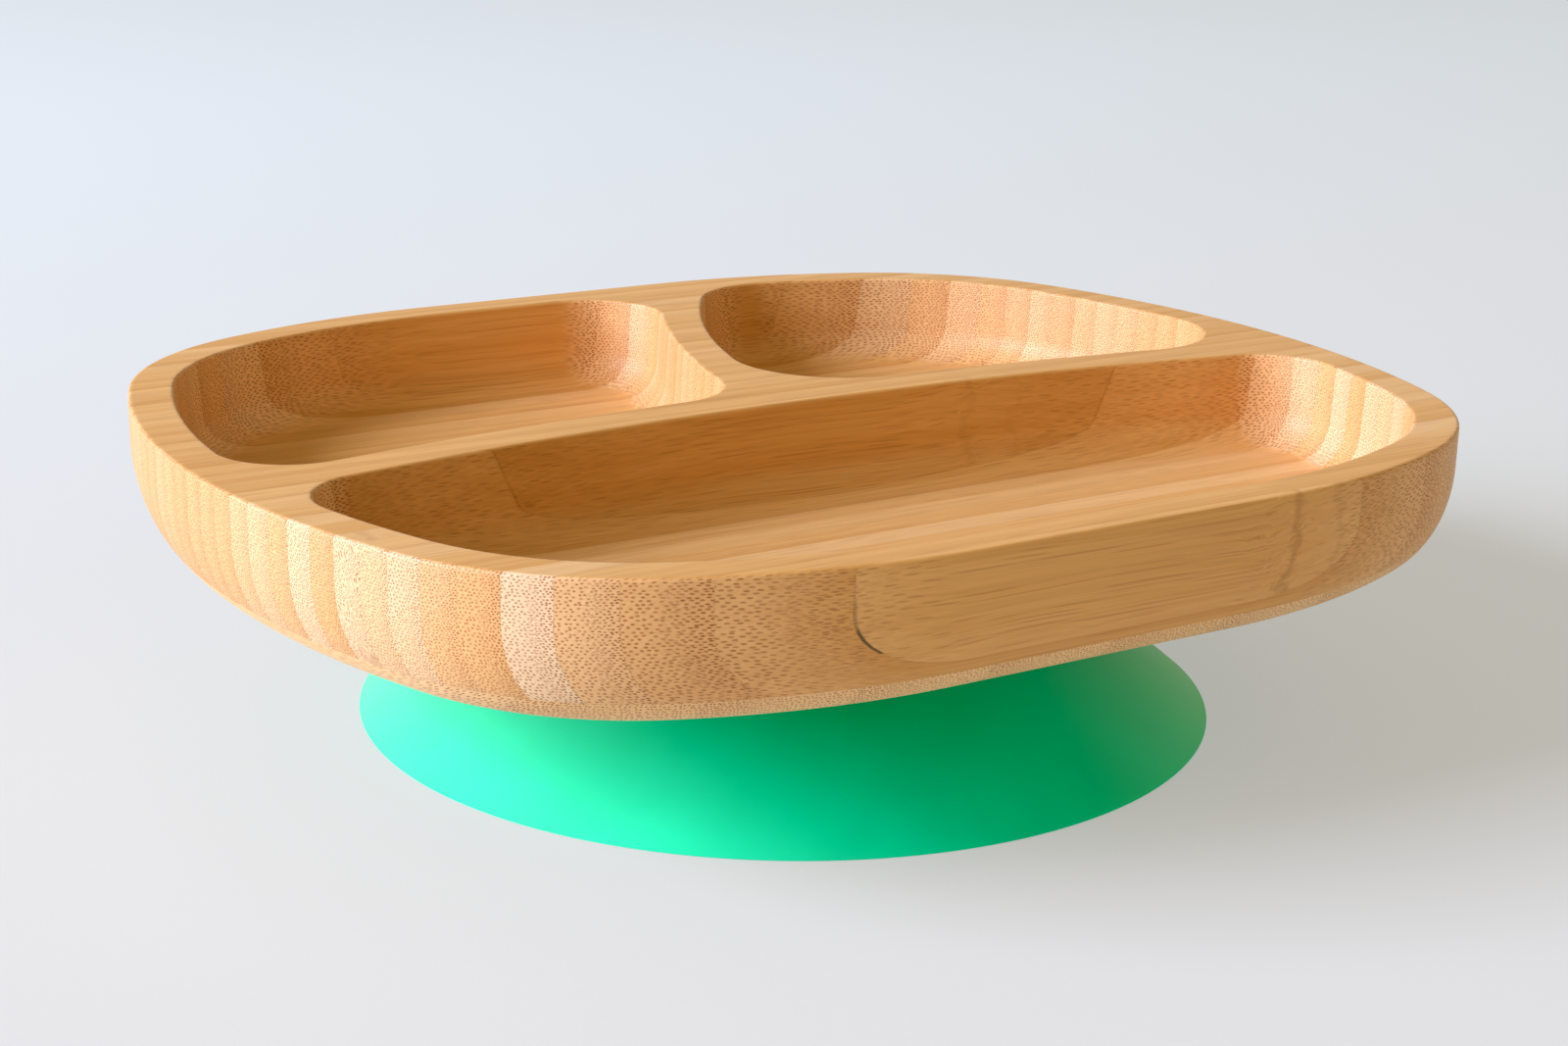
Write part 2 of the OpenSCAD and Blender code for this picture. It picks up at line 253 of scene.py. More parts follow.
left_pocket = [
    arc(bow_c, FAR_R, angle(bow_c, left_mid), angle(bow_c, left_near), -1),
    arc(left_mid, LEFT_CORNER_R, angle(left_mid, bow_c), angle(left_mid, left_c)),
    arc(left_c, SHORT_LEFT_R, angle(left_c, left_far), angle(left_c, left_mid), -1),
    arc(left_far, LEFT_CORNER_R, angle(left_far, left_c), 90, 1, 1),
    front_arc(RIM_W, -1, 1, 90, 180 - FRONT_A),
    corner_arc(RIM_W, -1, 1, 180 - FRONT_A, 180 - SIDE_A),
    left_arc(RIM_W, 180 - SIDE_A, angle(lside_c, left_near)),
    arc(left_near, POCKET_R, angle(lside_c, left_near), angle(left_near, bow_c)),
]
right_pocket = [
    arc(bow_c, FAR_R, angle(bow_c, right_near), angle(bow_c, right_mid), -1),
    arc(right_near, RIGHT_CORNER_R, angle(right_near, bow_c), angle(side_c, right_near)),
    right_arc(RIM_W, angle(side_c, right_near), SIDE_A),
    corner_arc(RIM_W, 1, 1, SIDE_A, FRONT_A),
    front_arc(RIM_W, 1, 1, FRONT_A, angle(front_c, right_far)),
    arc(right_far, RIGHT_CORNER_R, angle(front_c, right_far), angle(right_c, right_far)),
    arc(right_c, SHORT_RIGHT_R, angle(right_c, right_far), angle(right_c, right_mid)),
    arc(right_mid, RIGHT_CORNER_R, angle(right_c, right_mid), angle(right_mid, bow_c)),
]


def loop(arcs, inset):
    """Points along the arcs, moved inwards by the inset; their number doesn't depend on it."""
    points = []
    for c, r, a0, a1, side, run in arcs:
        n = max(1, math.ceil((a1 - a0) / STEP_ANGLE), math.ceil(math.radians(a1 - a0) * r / STEP))
        for k in range(n + run):
            a = a0 + (a1 - a0) * k / n if side > 0 else a1 - (a1 - a0) * k / n
            points.append(c + (r - side * inset) * along(a))
    return points


# Meshes, built in millimetres
def ring(bm, points, z):
    return [bm.verts.new((p.x, p.y, z)) for p in points]


def circle(r, n):
    return [r * along(360 * k / n) for k in range(n)]


def bridge(bm, rings):
    for a, b in zip(rings, rings[1:]):
        for i in range(len(a)):
            j = (i + 1) % len(a)
            bm.faces.new((a[i], a[j], b[j], b[i]))


def fill(bm, rings):
    """Fills the flat area between the first ring and the others."""
    verts = [v for r in rings for v in r]
    for tri in tessellate_polygon([[v.co for v in r] for r in rings]):
        bm.faces.new([verts[i] for i in tri])


def sweep(n, first=0.0, last=90.0):
    """Angles in radians, from the first to the last degrees in n equal steps."""
    return [math.radians(first + (last - first) * k / n) for k in range(n + 1)]


def edge_levels():
    """Heights and insets up the plate's side, from its underside to its rim."""
    levels = [(FOOT_H, EDGE_REACH + UNDERSIDE_LOOP)]
    for t in sweep(EDGE_FACETS):
        levels.append((FOOT_H + EDGE_RISE * (1 - math.cos(t)), EDGE_REACH * (1 - math.sin(t))))
    levels += [(FOOT_H + EDGE_RISE + STEP * k, 0) for k in (1, 2, 3)]
    for t in sweep(BREAK_FACETS):
        levels.append((TOP_Z - EDGE_BREAK + EDGE_BREAK * math.sin(t), EDGE_BREAK * (1 - math.cos(t))))
    return levels + [(TOP_Z, EDGE_BREAK + RIM_LOOP)]


def pocket_levels():
    """Heights and insets down a compartment's wall, from the rim to the floor."""
    draft = math.radians(POCKET_DRAFT)
    centre = (POCKET_DEPTH - POCKET_FILLET) * math.tan(draft) + POCKET_FILLET / math.cos(draft)
    floor_z = TOP_Z - POCKET_DEPTH
    levels = [(TOP_Z, -EDGE_BREAK - RIM_LOOP)]
    for t in sweep(BREAK_FACETS):
        levels.append((TOP_Z - EDGE_BREAK * (1 - math.cos(t)), -EDGE_BREAK * (1 - math.sin(t))))
    for t in sweep(FILLET_FACETS, POCKET_DRAFT, 90):
        levels.append((floor_z + POCKET_FILLET * (1 - math.sin(t)), centre - POCKET_FILLET * math.cos(t)))
    return levels + [(floor_z, centre + FLOOR_LOOP)]


def plate_mesh():
    """The whole milled plate as one closed mesh."""
    bm = bmesh.new()
    outer = [ring(bm, loop(outline, inset), z) for z, inset in edge_levels()]
    bridge(bm, outer)
    tops = []
    for arcs in (big_pocket, left_pocket, right_pocket):
        rings = [ring(bm, loop(arcs, inset), z) for z, inset in pocket_levels()]
        bridge(bm, rings)
        fill(bm, [rings[-1]])
        tops.append(rings[0])
    fill(bm, [outer[-1]] + tops)
    levels = [(SEAT_R + SEAT_BREAK, FOOT_H), (SEAT_R, FOOT_H + SEAT_BREAK), (SEAT_R, FOOT_H + SEAT_DEPTH)]
    seat = [ring(bm, circle(r, SEAT_FACETS), z) for r, z in levels]
    bridge(bm, seat)
    fill(bm, [seat[-1]])
    fill(bm, [outer[0], seat[0]])
    bmesh.ops.recalc_face_normals(bm, faces=bm.faces[:])
    return bm


def cut_off(bm, co, no):
    """Cuts a closed mesh at a plane. Returns the part behind it and leaves the other in bm, both closed."""
    behind = bm.copy()
    for part, sign in ((behind, 1), (bm, -1)):
        normal = Vector(no) * sign
        geom = part.verts[:] + part.edges[:] + part.faces[:]
        cut = bmesh.ops.bisect_plane(
            part, geom=geom, dist=CUT_TOLERANCE, plane_co=co, plane_no=normal, clear_outer=True)
        edges = [e for e in cut["geom_cut"] if isinstance(e, bmesh.types.BMEdge)]
        for e in edges:
            e.smooth = False
        bmesh.ops.triangle_fill(part, edges=edges, use_beauty=False, normal=normal)
    return behind


def piece(name, bm, body, nodes, material):
    """A mesh built in millimetres becomes a piece that rides on a body and stands for CAD nodes."""
    to_metres = 1 / MM_PER_M
    bmesh.ops.scale(bm, vec=(to_metres, to_metres, to_metres), verts=bm.verts[:])
    bmesh.ops.recalc_face_normals(bm, faces=bm.faces[:])
    mesh = bpy.data.meshes.new(name)
    bm.to_mesh(mesh)
    bm.free()
    mesh.shade_smooth()
    mesh.materials.append(material)
    obj = bpy.data.objects.new(name, mesh)
    bpy.context.scene.collection.objects.link(obj)
    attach(obj, body)
    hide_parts(*nodes)
    return obj


# Materials
class Tree:
    """Builds a material's nodes: every call gives an output socket, and inputs are sockets or numbers."""

    def __init__(self, name):
        self.material = bpy.data.materials.new(name)
        self.material.use_nodes = True
        self.nodes = self.material.node_tree.nodes
        self.links = self.material.node_tree.links
        self.shader = self.nodes["Principled BSDF"]

    def put(self, socket, value):
        if isinstance(value, bpy.types.NodeSocket):
            self.links.new(value, socket)
        else:
            socket.default_value = value

    def surface(self, inputs):
        for key, value in inputs.items():
            self.put(self.shader.inputs[key], value)

    def node(self, kind, inputs, **settings):
        n = self.nodes.new("ShaderNode" + kind)
        for key, value in settings.items():
            setattr(n, key, value)
        for key, value in inputs.items():
            self.put(n.inputs[key], value)
        return n

    def math(self, operation, a, b=0.0, c=0.0):
        return self.node("Math", {0: a, 1: b, 2: c}, operation=operation).outputs[0]

    def vector(self, x, y, z):
        return self.node("CombineXYZ", {0: x, 1: y, 2: z}).outputs[0]

    def split(self, vector):
        return self.node("SeparateXYZ", {0: vector}).outputs

    def coordinates(self, kind):
        return self.node("TexCoord", {}).outputs[kind]

    def millimetres(self):
        """The place on the object, as three sockets."""
        metres = self.coordinates("Object")
        return self.split(self.node("VectorMath", {0: metres, 3: MM_PER_M}, operation="SCALE").outputs[0])

    def attribute(self, name):
        return self.split(self.node("Attribute", {}, attribute_name=name).outputs["Vector"])

    def scaled(self, value, factor, offset=0.0):
        return self.math("MULTIPLY_ADD", value, factor, offset)

    def centred(self, noise, width):
        """Noise from 0 to 1 becomes a swing of this width around 0."""
        return self.scaled(noise, width, -width / 2)

    def noise(self, place, scales, detail):
        """Noise at a place of three sockets, each with its own scale."""
        vector = self.vector(*(self.scaled(p, s) for p, s in zip(place, scales)))
        return self.node("TexNoise", {"Vector": vector, "Scale": 1.0, "Detail": detail}).outputs[0]

    def ramp(self, value, low, high, to_low=0.0, to_high=1.0):
        inputs = {"Value": value, 1: low, 2: high, 3: to_low, 4: to_high}
        return self.node("MapRange", inputs, interpolation_type="SMOOTHSTEP").outputs[0]

    def stripe(self, value, middle, inner, outer, strength):
        """Full strength within the inner distance from the middle, nothing past the outer one."""
        away = self.math("ABSOLUTE", self.math("SUBTRACT", value, middle))
        return self.ramp(away, inner, outer, strength, 0.0)

    def clamp(self, value):
        return self.node("Clamp", {0: value}).outputs[0]

    def mix(self, factor, a, b, blend="MIX"):
        n = self.nodes.new("ShaderNodeMix")
        n.data_type = "RGBA"
        n.blend_type = blend
        self.put(n.inputs[0], factor)
        self.put(n.inputs[6], a)
        self.put(n.inputs[7], b)
        return n.outputs[2]

    def blend(self, factor, a, b):
        n = self.nodes.new("ShaderNodeMix")
        self.put(n.inputs[0], factor)
        self.put(n.inputs[2], a)
        self.put(n.inputs[3], b)
        return n.outputs[0]

    def bump(self, height, strength, distance):
        inputs = {"Height": height, "Strength": strength, "Distance": distance}
        return self.node("Bump", inputs).outputs[0]


# Colours: lengthwise bamboo from light to dark, its end grain, bleached strips, bundles, glue (which also
# paints the shade inside an open joint), silicone
STRIP_LIGHT = (0.75, 0.372, 0.108, 1)
STRIP_DARK = (0.585, 0.225, 0.033, 1)
PLY_LIGHT = (0.88, 0.54, 0.22, 1)
PLY_DARK = (0.76, 0.41, 0.14, 1)
CUT = (0.825, 0.45, 0.208, 1)
PALE = (0.83, 0.58, 0.35, 1)
BUNDLE = (0.34, 0.092, 0.018, 1)
GLUE = (0.15, 0.045, 0.012, 1)
WOOD_SHEEN = (1.0, 0.88, 0.62, 1)
GREEN_DEEP = (0.002, 0.68, 0.295, 1)
GREEN_BRIGHT = (0.004, 0.74, 0.335, 1)
GREEN_SHEEN = (0.95, 0.9, 0.75, 1)

# Bundles: spacing in millimetres, looseness of their grid, and radius as a share of the spacing
STRIP_PITCH = 0.57
PLY_PITCH = 0.60
ROW_STEP = 0.866
ROW_SHIFT = 0.5
BUNDLE_JITTER = 0.50
WIDE_R = 0.24
CLOSE_PITCH = 0.80
CLOSE_R = 0.21
# Strength of the sparse dots, and of dots and dashes on the end grain and beside it
WIDE_STRENGTH = 0.80
END_DOT = 0.76
END_DASH = 0.22
SIDE_DASH = 0.34
# Where each of these starts and ends: a dot's edge in radii, a dash, the denser side, end grain, a glue line
DOT_EDGE = (0.65, 1.40)
DASH_EDGE = (0.42, 0.62)
DENSE_EDGE = (0.35, 0.95)
END_EDGE = (0.05, 0.38)
GLUE_EDGE = (0.004, 0.016)
# Scales of the noises per millimetre, along the fibres first
DASH_SCALES = (0.07, 7.3, 5.1)
SWIRL_SCALES = (0.16, 0.16, 0.30)
BEND_SCALES = (0.022, 31.0, 0.06)
FINE_SCALES = (0.025, 2.2, 2.2)
BROAD_SCALES = (0.010, 0.5, 0.5)
# How the fibres wander: millimetres, the share of them that goes sideways, and each layer's own shift
FIBRE_BEND = 3.0
SIDE_BEND = 0.35
SEED_SHIFT = 57.0
# Round a knot: millimetres of its uneven line, of the fibres' swing, and how fast the swing falls off
KNOT_UNEVEN = 8.0
KNOT_SWING = 9.0
KNOT_FALL = -0.03
# Stripes beside a knot: place, half width, distance at which it has faded, strength
KNOT_LINE = (0.0, 0.2, 1.6, 0.30)
KNOT_PATCH = (5.5, 2.0, 4.5, 0.35)
KNOT_RING = (10.0, 0.2, 1.2, 0.12)
# Shares: how dark the wood is, how far end grain takes its own colour, how much bleaching shows beside it
DARK_BASE = 0.20
DARK_DENSE = 0.34
DARK_BROAD = 0.9
CUT_SHARE = 0.45
BLEACH_SIDE = 0.35
# Contrast of the fine streaks in red, green and blue
STREAKS = (0.30, 0.40, 0.50)
# Silicone: scales of its clouds and grain per millimetre, and where the brighter green starts and ends
CLOUD_SCALES = (0.05, 0.05, 0.05)
GRAIN_SCALES = (2.6, 2.6, 2.6)
CLOUD_EDGE = (0.3, 0.7)


def bundles(t, u, v, w, end, pitch, radius):
    """Vascular bundles along the fibres, on a loose triangular grid: dots on end grain, dashes beside it."""
    b = t.scaled(w, 1 / (ROW_STEP * pitch))
    a = t.math("SUBTRACT", t.scaled(v, 1 / pitch), t.scaled(b, ROW_SHIFT))
    inputs = {"Vector": t.vector(a, b, 0.0), "Scale": 1.0, "Randomness": BUNDLE_JITTER}
    cell = t.split(t.node("TexVoronoi", inputs, voronoi_dimensions="2D").outputs["Position"])
    db = t.math("SUBTRACT", b, cell[1])
    da = t.math("ADD", t.math("SUBTRACT", a, cell[0]), t.scaled(db, ROW_SHIFT))
    dw = t.scaled(db, ROW_STEP)
    away = t.math("SQRT", t.math("ADD", t.math("MULTIPLY", da, da), t.math("MULTIPLY", dw, dw)))
    dot = t.ramp(away, DOT_EDGE[0] * radius / pitch, DOT_EDGE[1] * radius / pitch, 1.0, 0.0)
    dash = t.ramp(t.noise((u, cell[0], cell[1]), DASH_SCALES, 1.0), *DASH_EDGE)
    strength = t.blend(end, t.scaled(dash, SIDE_DASH), t.scaled(dash, END_DASH, END_DOT))
    return t.math("MULTIPLY", dot, strength)


def bamboo(name, fibre, pitch, light, dark):
    """Bamboo with its fibres along X or Y: dots on the end grain, dashes and streaks along the fibres."""
    t = Tree(name)
    x, y, w = t.millimetres()
    u, v = (x, y) if fibre == "x" else (y, x)
    normal = t.split(t.coordinates("Normal"))
    end = t.ramp(t.math("ABSOLUTE", normal[0 if fibre == "x" else 1]), *END_EDGE)
    across, seed, tone = t.attribute("lam")
    knot_at, knot_strength, glue_and_gap_shade = t.attribute("marks")
    # Knot: the fibres swirl beside a dark, uneven line, and a paler patch lies on one side of it
    swirl = t.noise((u, v, w), SWIRL_SCALES, 3.0)
    off = t.math("ADD", t.math("SUBTRACT", u, knot_at), t.centred(swirl, KNOT_UNEVEN))
    near = t.math("EXPONENT", t.scaled(t.math("MULTIPLY", off, off), KNOT_FALL))
    near = t.math("MULTIPLY", near, knot_strength)
    # The fibres wander a little along their length
    bend = t.centred(t.noise((u, seed, w), BEND_SCALES, 1.0), FIBRE_BEND)
    shift = t.math("ADD", bend, t.math("MULTIPLY", near, t.centred(swirl, KNOT_SWING)))
    v1 = t.math("ADD", t.scaled(seed, SEED_SHIFT), t.math("ADD", v, t.scaled(shift, SIDE_BEND)))
    w1 = t.math("ADD", w, shift)
    # Bundles lie denser towards one side of each layer
    dense = t.ramp(across, *DENSE_EDGE)
    wide = bundles(t, u, v1, w1, end, pitch, WIDE_R * pitch)
    close = bundles(t, u, v1, w1, end, CLOSE_PITCH * pitch, CLOSE_R * pitch)
    dots = t.blend(dense, t.scaled(wide, WIDE_STRENGTH), close)
    # Fine and broad streaks along the fibres
    fine = t.noise((u, v1, w1), FINE_SCALES, 3.0)
    broad = t.noise((u, v1, w1), BROAD_SCALES, 2.0)
    depth = t.math("ADD", t.scaled(dense, DARK_DENSE, DARK_BASE), t.centred(broad, DARK_BROAD))
    colour = t.mix(t.clamp(t.math("SUBTRACT", depth, tone)), light, dark)
    colour = t.mix(t.scaled(end, CUT_SHARE), colour, CUT)
    bleach = t.math("MULTIPLY", t.clamp(tone), t.scaled(end, 1 - BLEACH_SIDE, BLEACH_SIDE))
    colour = t.mix(bleach, colour, PALE)
    streak = t.vector(*(t.scaled(fine, s, 1 - s / 2) for s in STREAKS))
    colour = t.mix(1.0, colour, streak, "MULTIPLY")
    colour = t.mix(dots, colour, BUNDLE)
    # Marks of the knot, then the glue lines, made darker by painted shade where a joint stands open
    marks = t.math("ADD", t.stripe(off, *KNOT_LINE), t.stripe(off, *KNOT_RING))
    colour = t.mix(t.math("MULTIPLY", knot_strength, t.stripe(off, *KNOT_PATCH)), colour, light)
    colour = t.mix(t.math("MULTIPLY", knot_strength, marks), colour, BUNDLE)
    edge = t.math("MINIMUM", across, t.math("SUBTRACT", 1.0, across))
    glue = t.math("MULTIPLY", t.ramp(edge, *GLUE_EDGE, 1.0, 0.0), glue_and_gap_shade)
    t.surface({
        "Base Color": t.mix(glue, colour, GLUE),
        "Roughness": t.math("ADD", t.scaled(fine, 0.14, 0.44), t.scaled(dots, 0.12)),
        "Normal": t.bump(t.math("SUBTRACT", t.scaled(fine, 0.5), dots), 0.30, 0.0001),
        "Specular IOR Level": 0.35,
        "Sheen Weight": 0.14,
        "Sheen Roughness": 0.4,
        "Sheen Tint": WOOD_SHEEN,
    })
    return t.material


def silicone(name):
    """Matt silicone with faint clouds, a fine grain and a soft sheen."""
    t = Tree(name)
    place = t.millimetres()
    cloud = t.noise(place, CLOUD_SCALES, 3.0)
    grain = t.noise(place, GRAIN_SCALES, 2.0)
    t.surface({
        "Base Color": t.mix(t.ramp(cloud, *CLOUD_EDGE), GREEN_DEEP, GREEN_BRIGHT),
        "Roughness": t.scaled(cloud, 0.08, 0.50),
        "Normal": t.bump(grain, 0.10, 0.00004),
        "Specular IOR Level": 0.3,
        "Sheen Weight": 0.55,
        "Sheen Roughness": 0.60,
        "Sheen Tint": GREEN_SHEEN,
        "Subsurface Weight": 0.2,
        "Subsurface Radius": (0.2, 1.0, 0.6),
        "Subsurface Scale": 0.003,
    })
    return t.material


strip_bamboo = bamboo("bamboo_strips", "x", STRIP_PITCH, STRIP_LIGHT, STRIP_DARK)
ply_bamboo = bamboo("bamboo_ply", "y", PLY_PITCH, PLY_LIGHT, PLY_DARK)
green = silicone("green_silicone")

# Plate: milled as one, then cut at its glue planes

# Arc where the joint of the two nearest strips stands open: its reach in X and Z, and how dark it is; the
# darkness is the glue line plus painted shade inside the gap
JOINT_X = (-50, -34)
JOINT_Z = (41.5, 50)
JOINT_WIDE_Z = 45.5
JOINT_WIDE = 0.9
JOINT_THIN = 0.35
# Tones of the strips that show on the near-left side, from the near edge; the others are random
TONES = [
    0.04, -0.08, -0.06, 0.15, 0.66, -0.06, 0.06, 0.42, 0.30,
    0.45, -0.02, 0.48, 0.04, 0.28, 0.16, -0.02, -0.04, -0.02,
]
OTHER_TONES = (-0.28, 0.24)
SLAT_TONES = (-0.1, 0.15)
STRIP_GLUE = (0.05, 0.20)
SLAT_GLUE = 0.15
# Knots of the strips: place along X and strength
KNOTS = {0: (31.0, 1.0), 9: (-97.0, 0.7), 16: (31.0, 0.4), 24: (-40.0, 0.4), 29: (60.0, 0.4)}
NO_KNOT = (1000.0, 0.0)


def laminate(obj, axis, lo, hi, seed, tone, knot, glue, open_joint=False):
    """Per vertex: place across the layer, seed, tone; the knot's place and strength, the glue's strength,
    which is raised by painted shade where the joint stands open.
    """
    mesh = obj.data
    lam = []
    marks = []
    for v in mesh.vertices:
        x = v.co.x * MM_PER_M
        z = v.co.z * MM_PER_M
        is_open = open_joint and JOINT_X[0] < x < JOINT_X[1] and JOINT_Z[0] < z < JOINT_Z[1]
        # Where the joint stands open its glue line is darker: painted shade inside the gap
        glue_and_shade = JOINT_WIDE if z < JOINT_WIDE_Z else JOINT_THIN
        lam += [(hi - v.co[axis] * MM_PER_M) / (hi - lo), seed, tone]
        marks += [knot[0], knot[1], glue_and_shade if is_open else glue]
    mesh.attributes.new("lam", "FLOAT_VECTOR", "POINT").data.foreach_set("vector", lam)
    mesh.attributes.new("marks", "FLOAT_VECTOR", "POINT").data.foreach_set("vector", marks)


plate = plate_mesh()
ply = cut_off(plate, (0, 0, PLY_Z), (0, 0, 1))
for i in range(SLATS):
    lo = -PLATE_W / 2 + i * SLAT_W
    part = ply if i == SLATS - 1 else cut_off(ply, (lo + SLAT_W, 0, 0), (1, 0, 0))
    obj = piece(f"ply_slat_{i + 1:02d}", part, "plate", [f"base_slat_{i + 1:02d}"], ply_bamboo)
    laminate(obj, 0, lo, lo + SLAT_W, random.random(), random.uniform(*SLAT_TONES), NO_KNOT, SLAT_GLUE)
for i in range(STRIPS):
    hi = NEAR_STRIP_T - PLATE_D / 2 + i * STRIP_W
    lo = hi - STRIP_W
    part = plate if i == STRIPS - 1 else cut_off(plate, (0, hi, 0), (0, 1, 0))
    obj = piece(f"strip_{i + 1:02d}", part, "plate", [f"bamboo_strip_{i + 1:02d}"], strip_bamboo)
    tone = TONES[i] if i < len(TONES) else random.uniform(*OTHER_TONES)
    knot = KNOTS.get(i, NO_KNOT)
    laminate(obj, 1, lo, hi, random.random(), tone, knot, random.uniform(*STRIP_GLUE), i < 2)


# Silicone foot, turned from its profiles
def turned(profile):
    """Closed solid of revolution from (radius, height) points; the ends lie on the axis."""
    bm = bmesh.new()
    rings = [ring(bm, circle(r, TURN_FACETS), z) for r, z in profile[1:-1]]
    bridge(bm, rings)
    for end, last in ((profile[0], rings[0]), (profile[-1], rings[-1])):
        tip = bm.verts.new((0, 0, end[1]))
        for i in range(TURN_FACETS):
            bm.faces.new((tip, last[i], last[(i + 1) % TURN_FACETS]))
    return bm


def mark_sharp(bm, limit):
    for e in bm.edges:
        e.smooth = e.calc_face_angle(0) < math.radians(limit)


def combine(a, b, operation):
    """Joins or cuts two closed meshes, and marks the sharp edges."""
    works = []
    for bm in (a, b):
        bmesh.ops.recalc_face_normals(bm, faces=bm.faces[:])
        mesh = bpy.data.meshes.new("work")
        bm.to_mesh(mesh)
        bm.free()
        works.append(bpy.data.objects.new("work", mesh))
        bpy.context.scene.collection.objects.link(works[-1])
    tool = works[0].modifiers.new("combine", "BOOLEAN")
    tool.object = works[1]
    tool.operation = operation
    tool.solver = "EXACT"
    out = bmesh.new()
    out.from_mesh(works[0].evaluated_get(bpy.context.evaluated_depsgraph_get()).to_mesh())
    for obj in works:
        bpy.data.meshes.remove(obj.data)
    mark_sharp(out, SHARP_ANGLE)
    return out


def rounded_block(x, y0, y1, z0, z1, near_k, far_k, bevel):
    """Flat block from -x to x with rounded corners and softened edges."""
    bm = bmesh.new()
    corners = [(x - near_k, y0 + near_k, near_k, -90), (x - far_k, y1 - far_k, far_k, 0),
               (far_k - x, y1 - far_k, far_k, 90), (near_k - x, y0 + near_k, near_k, 180)]
    turns = [90 / CORNER_FACETS * n for n in range(CORNER_FACETS + 1)]
    levels = []
    for t in sweep(BREAK_FACETS, 90, 0):
        levels.append((z0 + bevel * (1 - math.sin(t)), bevel * (1 - math.cos(t))))
    for t in sweep(BREAK_FACETS):
        levels.append((z1 - bevel * (1 - math.sin(t)), bevel * (1 - math.cos(t))))
    rings = []
    for z, inset in levels:
        points = []
        for cx, cy, k, a in corners:
            points += [Vector((cx, cy)) + (k - inset) * along(a + turn) for turn in turns]
        rings.append(ring(bm, points, z))
    bridge(bm, rings)
    fill(bm, [rings[0]])
    fill(bm, [rings[-1]])
    return bm


def cap(r, rise, x):
    """Height of a spherical cap of this radius and rise, at a distance from its axis."""
    return math.sqrt(r * r - x * x) - (r - rise)


skirt_r = SKIRT_D / 2
seal_r = skirt_r - SEAL_W
dome_r = (skirt_r ** 2 + SKIRT_RISE ** 2) / (2 * SKIRT_RISE)
crown_r = math.sqrt(dome_r ** 2 - (dome_r - SKIRT_RISE + SKIRT_H) ** 2)
air_rise = SKIRT_H - CROWN_T
air_r = (seal_r ** 2 + air_rise ** 2) / (2 * air_rise)


def skirt_profile():
    profile = [(0, 0)] + [(skirt_r - inset, z) for inset, z in SEAL_BREAK]
    for k in range(1, DOME_FACETS + 1):
        r = skirt_r + (crown_r - skirt_r) * (k / DOME_FACETS)
        profile.append((r, cap(dome_r, SKIRT_RISE, r)))
    return profile + [(crown_r - CROWN_BREAK, SKIRT_H), (0, SKIRT_H)]


def air_profile():
    """Air space under the skirt; it flares at the sealing face and runs on below it, to cut cleanly."""
    profile = [(0, air_rise)]
    for k in range(2, DOME_FACETS):
        r = seal_r * (k / DOME_FACETS)
        profile.append((r, cap(air_r, air_rise, r)))
    return profile + [(seal_r, AIR_LIP), (seal_r + AIR_FLARE, -AIR_BELOW), (0, -AIR_BELOW)]


def hub_profile():
    """Foot, waist, flange and plug of the hub, from the skirt's crown upwards."""
    disc_r = crown_r - HUB_INSET
    groove_r = (FOOT_H - FLANGE_T - HUB_FOOT_T - SKIRT_H) / 2
    foot_z = SKIRT_H + HUB_FOOT_T
    flange_z = FOOT_H - FLANGE_T
    grip_z = FOOT_H + (PLUG_H - GRIP_H) / 2
    plug_z = FOOT_H + PLUG_H
    profile = [
        (0, SKIRT_H),
        (disc_r - HUB_FOOT_BREAK, SKIRT_H),
        (disc_r, SKIRT_H + HUB_FOOT_BREAK),
        (disc_r, foot_z - HUB_BREAK),
        (disc_r - HUB_BREAK, foot_z),
    ]
    for t in sweep(GROOVE_FACETS, 0, 180):
        r = WAIST_R + groove_r - groove_r * math.sin(t)
        profile.append((r, foot_z + groove_r - groove_r * math.cos(t)))
    return profile + [
        (FLANGE_R - HUB_BREAK, flange_z),
        (FLANGE_R, flange_z + HUB_BREAK),
        (FLANGE_R, FOOT_H - HUB_BREAK),
        (FLANGE_R - HUB_BREAK, FOOT_H),
        (PLUG_R + PLUG_BREAK, FOOT_H),
        (PLUG_R, FOOT_H + PLUG_BREAK),
        (PLUG_R, grip_z),
        (PLUG_R - GRIP_DEPTH, grip_z),
        (PLUG_R - GRIP_DEPTH, grip_z + GRIP_H),
        (PLUG_R, grip_z + GRIP_H),
        (PLUG_R, plug_z - EDGE_BREAK),
        (PLUG_R - EDGE_BREAK, plug_z),
        (0, plug_z),
    ]


# Skirt: dome and lug for the tab, less the air space
tab_top = TAB_LIFT + TAB_T
lug = rounded_block(TAB_W / 2, skirt_r - LUG_DEPTH, skirt_r + LUG_REACH, TAB_LIFT, tab_top,
                    ROOT_CORNER_R, ROOT_CORNER_R, LUG_BREAK)
shell = combine(combine(turned(skirt_profile()), lug, "UNION"), turned(air_profile()), "DIFFERENCE")
skirt = piece("foot_skirt", shell, "foot", ["suction_skirt"], green)
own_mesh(skirt)

# Hub
hub = turned(hub_profile())
bmesh.ops.recalc_face_normals(hub, faces=hub.faces[:])
mark_sharp(hub, HUB_SHARP_ANGLE)
piece("foot_hub", hub, "hub", ["suction_hub"], green)

